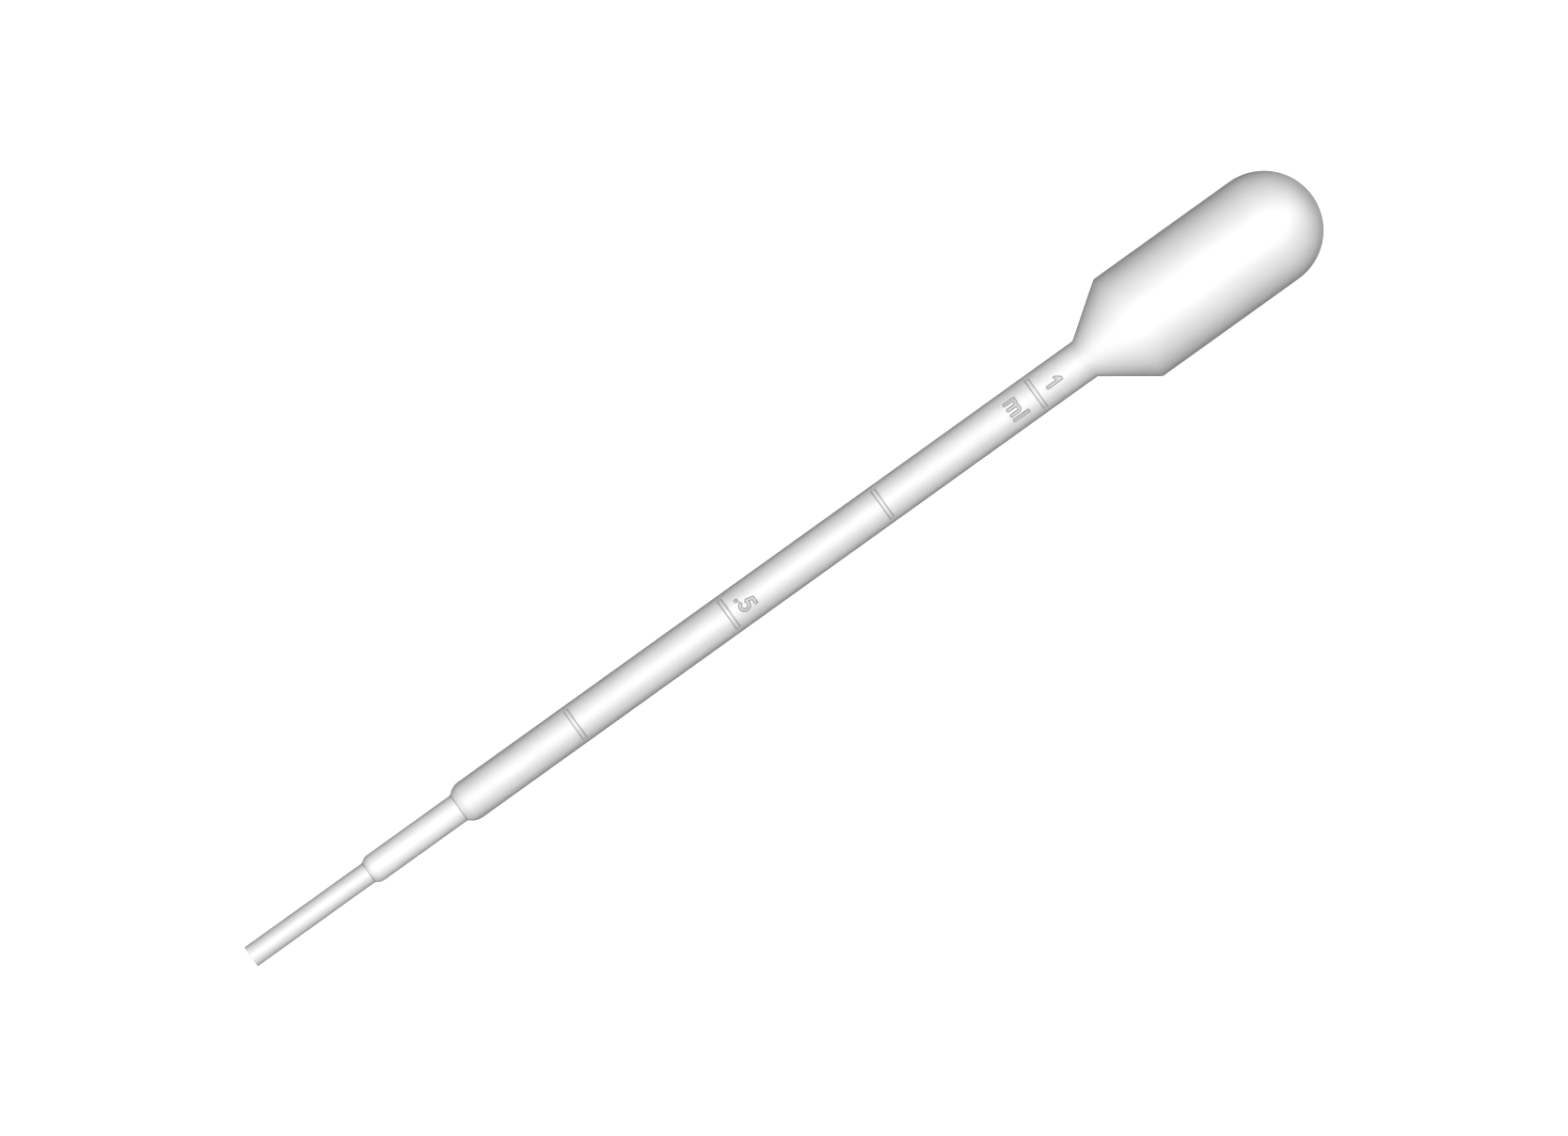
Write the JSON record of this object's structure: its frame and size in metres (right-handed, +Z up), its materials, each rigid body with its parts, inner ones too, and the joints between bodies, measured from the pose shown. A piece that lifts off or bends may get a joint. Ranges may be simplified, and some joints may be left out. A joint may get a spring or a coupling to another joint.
{
  "type": "plastic dropper pipette",
  "caption": "One-piece translucent polyethylene dropper pipette with a squeeze bulb, a stepped stem with a raised millilitre scale and a fine tip, for moving small volumes of liquid.",
  "frame": {"origin": "on the resting surface, under the middle of the whole length", "axes": "+X along the pipette from tip to bulb, +Z up, with the scale uppermost"},
  "size_m": [0.15, 0.0138, 0.0146],
  "materials": {
    "natural_ldpe": "natural, milky translucent, satin"
  },
  "bodies": {
    "root": {"pipette": "natural_ldpe"}
  },
  "joints": []
}
